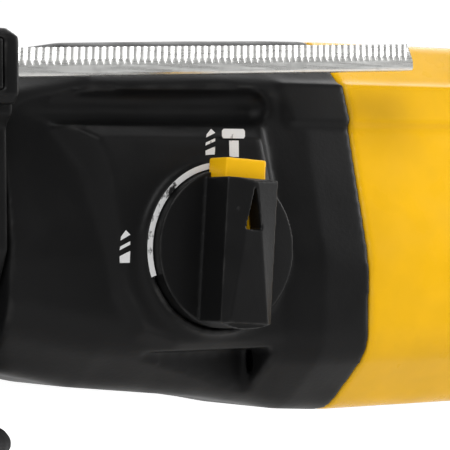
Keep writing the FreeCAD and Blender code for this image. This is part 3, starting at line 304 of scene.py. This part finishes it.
def make_finishes(colours):
    """One material for each slot of the record, and for the printed marks."""
    black = tuple(colours.plastic)
    yellow = tuple(colours.accent)
    white = tuple(colours.print)
    FINISHES.update({
        "black_plastic": moulded_plastic("black_plastic", black, (0.1, 0.098, 0.095), 0.42, 0.00005),
        "yellow_plastic": moulded_plastic("yellow_plastic", yellow, (0.98, 0.72, 0.2), 0.3, 0.00001,
                                          wear=0.25),
        "soft_rubber": soft_rubber("soft_rubber", (0.02, 0.02, 0.021)),
        "zinc_steel": plated_steel("zinc_steel", (0.82, 0.82, 0.8), 0.28),
        "gear_steel": machined_steel("gear_steel", (0.46, 0.45, 0.44), 0.34),
        "cast_aluminium": cast_aluminium("cast_aluminium", (0.62, 0.62, 0.63)),
        "copper_wire": enamelled_wire("copper_wire", (0.72, 0.32, 0.13)),
        "carbon": pressed_carbon("carbon", (0.03, 0.03, 0.032)),
        "brass_part": machined_steel("brass_part", (0.78, 0.58, 0.28), 0.3),
        "print": pad_print("print", white, black, 0.0),
        "worn_print": pad_print("worn_print", white, black, 0.12),
    })


# ---- modelling helpers ----

def new_piece(name, mesh):
    """An object at the origin from a finished bmesh."""
    data = bpy.data.meshes.new(name)
    mesh.to_mesh(data)
    mesh.free()
    piece = bpy.data.objects.new(name, data)
    bpy.context.scene.collection.objects.link(piece)
    return piece


def place_piece(piece, node, finish=None, stands_for=True, smooth=True):
    """Rides, slots and paints a piece that belongs with a CAD node."""
    slot = SLOT_OF[node]
    piece.data.materials.clear()
    piece.data.materials.append(FINISHES[finish or slot])
    for face in piece.data.polygons:
        face.use_smooth = smooth
    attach(piece, BODY_OF[node])
    if stands_for:
        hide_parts(node)
    return piece


def settle(piece):
    """Replaces a piece's mesh by its result with all modifiers applied."""
    graph = bpy.context.evaluated_depsgraph_get()
    graph.update()
    result = bpy.data.meshes.new_from_object(piece.evaluated_get(graph))
    piece.modifiers.clear()
    piece.data = result


def moulded_skin(node, voxel, passes, keep=1.0):
    """The node's own shape with every edge and root rounded as a mould would round it."""
    mesh = bmesh.new()
    mesh.from_mesh(frame["nodes"][node].data)
    bmesh.ops.remove_doubles(mesh, verts=mesh.verts, dist=0.001 * MM)
    piece = new_piece(node + "_skin", mesh)
    remesh = piece.modifiers.new("even", "REMESH")
    remesh.mode = "VOXEL"
    remesh.voxel_size = voxel
    rounding = piece.modifiers.new("rounding", "SMOOTH")
    rounding.factor = 0.5
    rounding.iterations = passes
    if keep < 1:
        thin = piece.modifiers.new("thin", "DECIMATE")
        thin.ratio = keep
    settle(piece)
    return piece


def spun(outline, along, base, steps=96):
    """A turned bmesh: outline is (distance along the axis, radius), both in metres."""
    mesh = bmesh.new()
    turn = X_AXIS.rotation_difference(along).to_matrix().to_4x4()
    corners = [mesh.verts.new(Vector((x, r, 0))) for x, r in outline]
    rim = [mesh.edges.new(pair) for pair in zip(corners, corners[1:])]
    bmesh.ops.spin(mesh, geom=corners + rim, cent=(0, 0, 0), axis=X_AXIS, angle=2 * math.pi,
                   steps=steps, use_merge=True)
    bmesh.ops.remove_doubles(mesh, verts=mesh.verts, dist=0.002 * MM)
    bmesh.ops.recalc_face_normals(mesh, faces=mesh.faces)
    bmesh.ops.transform(mesh, matrix=Matrix.Translation(base) @ turn, verts=mesh.verts)
    return mesh


def rounded(corners, radius, steps=5):
    """An open outline with an arc at every inner corner, no larger than its sides allow."""
    result = [corners[0]]
    for before, corner, after in zip(corners, corners[1:], corners[2:]):
        here = Vector(corner)
        back = Vector(before) - here
        forward = Vector(after) - here
        reach = min(radius, back.length * 0.45, forward.length * 0.45)
        first = here + back.normalized() * reach
        last = here + forward.normalized() * reach
        for i in range(steps + 1):
            t = i / steps
            result.append(tuple(first * (1 - t) ** 2 + here * 2 * t * (1 - t) + last * t * t))
    result.append(corners[-1])
    return result


def prism(points, low_y, high_y):
    """A bmesh of a flat outline in X and Z, thickened along Y."""
    mesh = bmesh.new()
    corners = [mesh.verts.new((x, low_y, z)) for x, z in points]
    face = mesh.faces.new(corners)
    grown = bmesh.ops.extrude_face_region(mesh, geom=[face])
    moved = [v for v in grown["geom"] if isinstance(v, bmesh.types.BMVert)]
    bmesh.ops.translate(mesh, verts=moved, vec=(0, high_y - low_y, 0))
    bmesh.ops.recalc_face_normals(mesh, faces=mesh.faces)
    return mesh


def join_into(mesh, other):
    """Adds another bmesh's geometry to the first."""
    data = bpy.data.meshes.new("joined")
    other.to_mesh(data)
    other.free()
    mesh.from_mesh(data)
    bpy.data.meshes.remove(data)


# ---- sizes and colours ----

class HammerColours(bpy.types.PropertyGroup):
    plastic: FloatVectorProperty(name="Plastic", description="Colour of the black mouldings",
                                 default=(0.006, 0.006, 0.0062), subtype="COLOR", min=0, max=1)
    accent: FloatVectorProperty(name="Accent", description="Colour of the motor housing and lock button",
                                default=(0.92, 0.5, 0.006), subtype="COLOR", min=0, max=1)
    print: FloatVectorProperty(name="Print", description="Colour of the printed mode symbols",
                               default=(0.72, 0.72, 0.72), subtype="COLOR", min=0, max=1)


class HammerMoulding(bpy.types.PropertyGroup):
    case_step: FloatProperty(name="Case step", description="Mesh step of the large mouldings",
                             default=0.9 * MM, unit="LENGTH")
    knob_step: FloatProperty(name="Knob step", description="Mesh step of the small mouldings",
                             default=0.36 * MM, unit="LENGTH")
    rounding: IntProperty(name="Rounding", description="Smoothing passes on moulded edges", default=6)


class HammerRod(bpy.types.PropertyGroup):
    pitch: FloatProperty(name="Tooth pitch", description="Distance between the teeth of the depth rod",
                         default=1.95 * MM, unit="LENGTH")
    tooth: FloatProperty(name="Tooth depth", description="Depth of the teeth of the depth rod",
                         default=0.28 * MM, unit="LENGTH")


class HammerPrint(bpy.types.PropertyGroup):
    film: FloatProperty(name="Film", description="Thickness of the printed symbols",
                        default=0.06 * MM, unit="LENGTH")
    arc_width: FloatProperty(name="Arc width", description="Width of the arc printed on the selector rim",
                             default=1.5 * MM, unit="LENGTH")
    arc_radius: FloatProperty(name="Arc radius", description="Outer radius of the printed arc",
                              default=21.95 * MM, unit="LENGTH")


class HammerGrip(bpy.types.PropertyGroup):
    rib_pitch: FloatProperty(name="Rib pitch", description="Distance between the ribs of the side grip",
                             default=5.5 * MM, unit="LENGTH")
    rib_depth: FloatProperty(name="Rib depth", description="Depth of the ribs of the side grip",
                             default=0.7 * MM, unit="LENGTH")
    flutes: IntProperty(name="Flutes", description="Flutes round the chuck sleeve", default=12)


# ---- operators ----

# The share of a skin's triangles that is kept where half of them are enough.
KEPT = 0.5

class HAMMER_OT_finishes(bpy.types.Operator):
    """Makes the finishes and paints every carried-over node with its own"""
    bl_idname = "hammer.finishes"
    bl_label = "Finishes"

    def execute(self, context):
        make_finishes(context.scene.hammer_colours)
        for node, piece in frame["nodes"].items():
            piece.data.materials.clear()
            piece.data.materials.append(FINISHES[SLOT_OF[node]])
        return {"FINISHED"}


class HAMMER_OT_housings(bpy.types.Operator):
    """Builds the skins of the gear housing and the motor housing"""
    bl_idname = "hammer.housings"
    bl_label = "Housings"

    def execute(self, context):
        sizes = context.scene.hammer_moulding
        for node in ("gear_housing", "motor_housing"):
            place_piece(moulded_skin(node, sizes.case_step, sizes.rounding, KEPT), node)
        return {"FINISHED"}


class HAMMER_OT_rear_handle(bpy.types.Operator):
    """Builds the rear handle's shells, soft grip, trigger, reverse slider and cord gland"""
    bl_idname = "hammer.rear_handle"
    bl_label = "Rear handle"

    def execute(self, context):
        sizes = context.scene.hammer_moulding
        for node in ("handle_shell_left", "handle_shell_right"):
            place_piece(moulded_skin(node, sizes.case_step, sizes.rounding, KEPT), node)
        for node in ("grip_overmold", "trigger", "reverse_slider", "cord_gland"):
            place_piece(moulded_skin(node, sizes.knob_step * 1.4, sizes.rounding - 2, KEPT), node)
        return {"FINISHED"}


class HAMMER_OT_selector(bpy.types.Operator):
    """Builds the mode selector's knob and lock button"""
    bl_idname = "hammer.selector"
    bl_label = "Selector"

    def execute(self, context):
        sizes = context.scene.hammer_moulding
        for node, passes in (("selector_knob", 2), ("selector_lock_button", 6)):
            place_piece(moulded_skin(node, sizes.knob_step, passes), node)
        return {"FINISHED"}


# Outlines of the printed symbols, as shares of each symbol's width and height.
DRILL_MARKS = (
    ((0.10, 0.69), (1.0, 0.86), (0.59, 1.0), (0.14, 0.80)),
    ((0.0, 0.39), (0.98, 0.555), (0.98, 0.66), (0.06, 0.50)),
    ((0.0, 0.0), (0.91, 0.0), (0.97, 0.36), (0.0, 0.205)),
)
HAMMER_MARKS = (
    ((0.06, 0.664), (0.94, 0.664), (1.0, 0.73), (1.0, 0.93),
     (0.93, 1.0), (0.07, 1.0), (0.0, 0.93), (0.0, 0.73)),
    ((0.31, 0.0), (0.72, 0.0), (0.72, 0.586), (0.31, 0.586)),
)
# The symbols' places and sizes in mm from the knob's centre: across, up, width and height.
SYMBOLS = (
    ("drill_symbol", -28.3, -3.1, 3.1, 8.1, DRILL_MARKS),
    ("hammer_drill_symbol", -2.75, 23.5, 3.0, 6.95, DRILL_MARKS),
    ("hammer_symbol", 2.3, 23.35, 7.0, 7.2, HAMMER_MARKS),
)
# The stretches of the arc, in degrees from the top.
ARCS = (("arc_upper", -8, 39, "print"), ("arc_worn", 39, 85, "worn_print"), ("arc_lower", 85, 108, "print"))
# Where the pad's face and the ring's rim stand.
PAD_Y = -38.3 * MM
RIM_Y = -41.1 * MM


class HAMMER_OT_symbols(bpy.types.Operator):
    """Prints the mode symbols and the arc round the selector"""
    bl_idname = "hammer.symbols"
    bl_label = "Symbols"

    def execute(self, context):
        sizes = context.scene.hammer_print
        centre = Vector(joint("selector_turn")["pos_m"])
        for name, x, z, wide, high, marks in SYMBOLS:
            mesh = bmesh.new()
            for outline in marks:
                points = [
                    (centre.x + (x + px * wide) * MM, centre.z + (z + pz * high) * MM)
                    for px, pz in outline
                ]
                join_into(mesh, prism(points, PAD_Y + sizes.film, PAD_Y - sizes.film))
            place_piece(new_piece(name, mesh), "gear_housing", "print", False, False)
        for name, first, last, finish in ARCS:
            arc = printed_arc(name, centre, sizes, first, last)
            place_piece(arc, "gear_housing", finish, False, False)
        return {"FINISHED"}


def printed_arc(name, centre, sizes, first, last):
    """A stretch of the arc on the selector's rim, in degrees from the top round towards the nose."""
    mesh = bmesh.new()
    radii = (sizes.arc_radius - sizes.arc_width, sizes.arc_radius)
    edge = [mesh.verts.new(centre + Vector((0, 0, radius))) for radius in radii]
    for vert in edge:
        vert.co.y = RIM_Y + sizes.film
    side = mesh.edges.new(edge)
    bmesh.ops.rotate(mesh, verts=edge, cent=centre, matrix=Matrix.Rotation(math.radians(-first), 3, "Y"))
    bmesh.ops.spin(mesh, geom=edge + [side], cent=centre, axis=-Y_AXIS, angle=math.radians(last - first),
                   steps=int(last - first) // 2)
    grown = bmesh.ops.extrude_face_region(mesh, geom=mesh.faces[:])
    moved = [v for v in grown["geom"] if isinstance(v, bmesh.types.BMVert)]
    bmesh.ops.translate(mesh, verts=moved, vec=(0, -2 * sizes.film, 0))
    bmesh.ops.recalc_face_normals(mesh, faces=mesh.faces)
    return new_piece(name, mesh)


class HAMMER_OT_clamp(bpy.types.Operator):
    """Builds the side handle's clamp and the rod's release button"""
    bl_idname = "hammer.clamp"
    bl_label = "Clamp"

    def execute(self, context):
        sizes = context.scene.hammer_moulding
        bracket = moulded_skin("clamp_bracket", sizes.knob_step * 1.8, sizes.rounding - 2, 0.6)
        place_piece(bracket, "clamp_bracket")
        button = moulded_skin("rod_release_button", sizes.knob_step, 3)
        place_piece(button, "rod_release_button")
        return {"FINISHED"}


class HAMMER_OT_depth_rod(bpy.types.Operator):
    """Builds the depth rod with its two toothed faces"""
    bl_idname = "hammer.depth_rod"
    bl_label = "Depth rod"

    def execute(self, context):
        sizes = context.scene.hammer_rod
        direction = Vector(joint("depth_rod_slide")["axis"])
        tilt = math.atan2(direction.z, direction.x)
        length = extent("depth_rod").x / math.cos(tilt) - 0.25 * MM
        mesh = toothed_bar(length, sizes.pitch, sizes.tooth)
        place = Matrix.Translation(middle("depth_rod")) @ Matrix.Rotation(-tilt, 4, "Y")
        bmesh.ops.transform(mesh, matrix=place, verts=mesh.verts)
        place_piece(new_piece("toothed_rod", mesh), "depth_rod", smooth=False)
        return {"FINISHED"}


def toothed_bar(length, pitch, depth):
    """A bar along X, round its middle: slanted side faces cut with leaning teeth, smooth base."""
    half = [(1.4, 3.5), (2.07, 1.96), (2.73, 0.43), (3.4, -1.1), (3.4, -3.0), (2.9, -3.5)]
    profile = [(y * MM, z * MM) for y, z in half + [(-y, z) for y, z in half[::-1]]]
    steps_per_tooth = 6
    count = int(length / pitch) * steps_per_tooth
    lean = 0.35
    mesh = bmesh.new()
    start = [mesh.verts.new((-length / 2, y, z)) for y, z in profile]
    face = mesh.faces.new(start)
    rings = [start]
    for _ in range(count):
        grown = bmesh.ops.extrude_face_region(mesh, geom=[face])["geom"]
        face = next(f for f in grown if isinstance(f, bmesh.types.BMFace))
        moved = [v for v in grown if isinstance(v, bmesh.types.BMVert)]
        bmesh.ops.translate(mesh, verts=moved, vec=(length / count, 0, 0))
        rings.append(moved)
    for number, ring in enumerate(rings[2:-2], 2):
        phase = (number % steps_per_tooth) / steps_per_tooth
        hollow = depth * max(0.0, math.sin(math.pi * phase)) ** 0.7
        for vert in ring:
            if vert.co.z > -0.9 * MM:
                vert.co.y -= math.copysign(hollow, vert.co.y)
                vert.co.z -= hollow * 0.25
                vert.co.x += lean * vert.co.z
    bmesh.ops.recalc_face_normals(mesh, faces=mesh.faces)
    return mesh


class HAMMER_OT_side_grip(bpy.types.Operator):
    """Builds the side grip with its flange and ribbed rubber"""
    bl_idname = "hammer.side_grip"
    bl_label = "Side grip"

    def execute(self, context):
        sizes = context.scene.hammer_grip
        low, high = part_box("side_handle_grip")
        centre = middle("side_handle_grip")
        radius = extent("side_handle_grip").x / 2
        length = high.z - low.z
        body = radius * 0.66
        outline = [(0, 4.05 * MM), (0, radius * 0.7), (1.6 * MM, radius * 0.93), (4 * MM, radius),
                   (6.5 * MM, radius), (9.5 * MM, radius * 0.8), (12 * MM, body * 0.94)]
        outline = rounded(outline, 1.2 * MM)[:-1]
        first_rib = 16 * MM
        last_rib = length - 22 * MM
        count = 14 * int((last_rib - first_rib) / sizes.rib_pitch)
        for i in range(count + 1):
            along = first_rib + (last_rib - first_rib) * i / count
            swell = body * (0.9 + 0.09 * math.sin(math.pi * i / count))
            rib = abs(math.sin(math.pi * (along - first_rib) / sizes.rib_pitch)) ** 0.6
            outline.append((along, swell - sizes.rib_depth * (1 - rib)))
        end = [(length - 19 * MM, body * 0.86), (length - 13 * MM, body * 0.98),
               (length - 10 * MM, body * 1.07), (length - 5 * MM, body * 1.07),
               (length, body * 0.82), (length, 0)]
        outline += rounded(end, 2.5 * MM)
        outline = outline[:-1] + [(length, 0.0)]
        base = Vector((centre.x, centre.y, high.z))
        mesh = spun(outline + [(2 * MM, 0.0)], -Z_AXIS, base)
        place_piece(new_piece("ribbed_grip", mesh), "side_handle_grip")
        return {"FINISHED"}


class HAMMER_OT_chuck(bpy.types.Operator):
    """Builds the fluted chuck sleeve and the dust cap"""
    bl_idname = "hammer.chuck"
    bl_label = "Chuck"

    def execute(self, context):
        sizes = context.scene.hammer_grip
        low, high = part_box("chuck_sleeve")
        radius = high.z
        length = high.x - low.x
        inner = radius - 4 * MM
        neck = 8.6 * MM
        outline = [(0, neck), (0, radius * 0.8), (3 * MM, radius * 0.95), (length - 11 * MM, radius),
                   (length - 8.5 * MM, radius * 0.94), (length - 2 * MM, radius * 0.96),
                   (length, radius * 0.9), (length, inner), (3 * MM, inner), (3 * MM, neck)]
        cuts = rounded(outline, 1.1 * MM)
        mesh = spun(cuts + [outline[0]], X_AXIS, Vector((low.x, 0, 0)), 144)
        for step in (7, 15):
            bmesh.ops.bisect_plane(mesh, geom=mesh.verts[:] + mesh.edges[:] + mesh.faces[:],
                                   plane_co=(low.x + step * MM, 0, 0), plane_no=X_AXIS)
        for vert in mesh.verts:
            out = math.hypot(vert.co.y, vert.co.z)
            if out > radius * 0.93 and low.x + 5 * MM < vert.co.x < low.x + 23 * MM:
                wave = max(0.0, math.cos(sizes.flutes * math.atan2(vert.co.z, vert.co.y))) ** 2
                share = 1 - 0.06 * wave
                vert.co.y *= share
                vert.co.z *= share
        place_piece(new_piece("fluted_sleeve", mesh), "chuck_sleeve")
        low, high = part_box("dust_cap")
        radius = high.z
        outline = [(0, 5.7 * MM), (0, radius * 0.52), (2 * MM, radius * 0.66), (6.5 * MM, radius * 0.72),
                   (9.5 * MM, radius * 0.9), (12 * MM, radius), (16 * MM, radius),
                   (17 * MM, radius * 0.94), (17 * MM, 8.5 * MM), (6 * MM, 8.5 * MM),
                   (5 * MM, 7.5 * MM), (5 * MM, 5.7 * MM)]
        mesh = spun(rounded(outline, 1.2 * MM) + [outline[0]], X_AXIS, Vector((low.x, 0, 0)))
        place_piece(new_piece("rubber_cap", mesh), "dust_cap")
        return {"FINISHED"}


# Each coil spring: its node, its side of the middle (0 for all of it) and the joint that squeezes it.
SPRINGS = (
    ("sleeve_spring", 0, "chuck_sleeve_pull"),
    ("selector_lock_spring", 0, "selector_lock_press"),
    ("trigger_spring", 0, "trigger_pull"),
    ("brush_springs", -1, "brush_left_slide"),
    ("brush_springs", 1, "brush_right_slide"),
)


class HAMMER_OT_springs(bpy.types.Operator):
    """Makes pieces of the coil springs of the lock button, the brushes, the trigger and the chuck sleeve from
    their nodes' own meshes, the brush springs split by side
    """
    bl_idname = "hammer.springs"
    bl_label = "Springs"

    def execute(self, context):
        for node, side, name in SPRINGS:
            mesh = bmesh.new()
            mesh.from_mesh(frame["nodes"][node].data)
            bmesh.ops.remove_doubles(mesh, verts=mesh.verts, dist=0.001 * MM)
            other_side = [v for v in mesh.verts if v.co.y * side < 0]
            bmesh.ops.delete(mesh, geom=other_side, context="VERTS")
            coil = place_piece(new_piece(name + "_coil", mesh), node)
            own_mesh(coil)
        return {"FINISHED"}


# Each soft light: its place and size in metres and its power in watts.
LIGHTS = (
    ("key_light", (-0.35, -0.75, 0.85), 0.8, 9.3),
    ("nose_light", (-1.1, -0.2, 0.3), 0.7, 2.0),
    ("side_light", (1.2, -0.35, 0.3), 0.6, 7.5),
    ("rear_light", (0.8, 0.7, 0.8), 0.9, 7),
)
LIT_POINT = Vector((0.16, -0.03, -0.01))
WORLD_LIGHT = 0.25
WORLD_SEEN = 1.05
FLOOR_GAP = 2 * MM
CAMERA_LENS = 189.6
CAMERA_AZIMUTH = math.radians(-33)
CAMERA_ROLL = math.radians(0.66)
CAMERA_TARGET = Vector((0.1495, -0.042, -0.0125))
CAMERA_DISTANCE = 0.6


class HAMMER_OT_stage(bpy.types.Operator):
    """Sets the floor, the lights and the camera"""
    bl_idname = "hammer.stage"
    bl_label = "Stage"

    def execute(self, context):
        floor_mesh = bmesh.new()
        bmesh.ops.create_grid(floor_mesh, x_segments=1, y_segments=1, size=6)
        bmesh.ops.translate(floor_mesh, verts=floor_mesh.verts, vec=(0, 0, CAD_BOX[0].z - FLOOR_GAP))
        floor = new_piece("floor", floor_mesh)
        floor.data.materials.append(studio_paper("studio_paper", (0.9, 0.9, 0.9)))
        world = bpy.data.worlds.new("studio")
        world.use_nodes = True
        tree = world.node_tree
        backdrop = tree.nodes["Background"]
        backdrop.inputs["Color"].default_value = (1, 1, 1, 1)
        seen = tree.nodes.new("ShaderNodeLightPath").outputs["Is Camera Ray"]
        strength = tree.nodes.new("ShaderNodeMapRange")
        strength.inputs["To Min"].default_value = WORLD_LIGHT
        strength.inputs["To Max"].default_value = WORLD_SEEN
        tree.links.new(seen, strength.inputs["Value"])
        tree.links.new(strength.outputs["Result"], backdrop.inputs["Strength"])
        context.scene.world = world
        for name, place, size, power in LIGHTS:
            lamp = bpy.data.lights.new(name, "AREA")
            lamp.size = size
            lamp.energy = power
            light = bpy.data.objects.new(name, lamp)
            light.location = place
            light.rotation_euler = (Vector(place) - LIT_POINT).to_track_quat("Z", "Y").to_euler()
            context.scene.collection.objects.link(light)
        lens = bpy.data.cameras.new("camera")
        lens.lens = CAMERA_LENS
        lens.sensor_width = 36
        lens.clip_start = 0.01
        camera = bpy.data.objects.new("camera", lens)
        back = Vector((math.sin(CAMERA_AZIMUTH), -math.cos(CAMERA_AZIMUTH), 0))
        level = Vector((math.cos(CAMERA_AZIMUTH), math.sin(CAMERA_AZIMUTH), 0))
        right = level * math.cos(CAMERA_ROLL) - Z_AXIS * math.sin(CAMERA_ROLL)
        up = Z_AXIS * math.cos(CAMERA_ROLL) + level * math.sin(CAMERA_ROLL)
        pose = Matrix((right, up, back)).transposed().to_4x4()
        pose.translation = CAMERA_TARGET + back * CAMERA_DISTANCE
        camera.matrix_world = pose
        context.scene.collection.objects.link(camera)
        context.scene.camera = camera
        context.scene.view_settings.view_transform = "Standard"
        return {"FINISHED"}


OPERATORS = (
    HAMMER_OT_finishes, HAMMER_OT_housings, HAMMER_OT_rear_handle, HAMMER_OT_selector, HAMMER_OT_symbols,
    HAMMER_OT_clamp, HAMMER_OT_depth_rod, HAMMER_OT_side_grip, HAMMER_OT_chuck,
    HAMMER_OT_springs, HAMMER_OT_stage,
)
GROUPS = {
    "hammer_colours": HammerColours,
    "hammer_moulding": HammerMoulding,
    "hammer_rod": HammerRod,
    "hammer_print": HammerPrint,
    "hammer_grip": HammerGrip,
}


class HAMMER_PT_sidebar(bpy.types.Panel):
    """Lists the hammer's pieces in build order"""
    bl_label = "Rotary hammer"
    bl_idname = "HAMMER_PT_sidebar"
    bl_space_type = "VIEW_3D"
    bl_region_type = "UI"
    bl_category = "Hammer"

    def draw(self, context):
        for operator in OPERATORS:
            self.layout.operator(operator.bl_idname)
        for name, group in GROUPS.items():
            box = self.layout.box()
            for prop in group.__annotations__:
                box.prop(getattr(context.scene, name), prop)


def register():
    for group in GROUPS.values():
        bpy.utils.register_class(group)
    for operator in OPERATORS:
        bpy.utils.register_class(operator)
    bpy.utils.register_class(HAMMER_PT_sidebar)
    for name, group in GROUPS.items():
        setattr(bpy.types.Scene, name, PointerProperty(type=group))


def unregister():
    for name in GROUPS:
        delattr(bpy.types.Scene, name)
    for item in (HAMMER_PT_sidebar, *reversed(OPERATORS), *GROUPS.values()):
        bpy.utils.unregister_class(item)


def main():
    register()
    for operator in OPERATORS:
        area, action = operator.bl_idname.split(".")
        getattr(getattr(bpy.ops, area), action)()


if __name__ == "__main__":
    main()
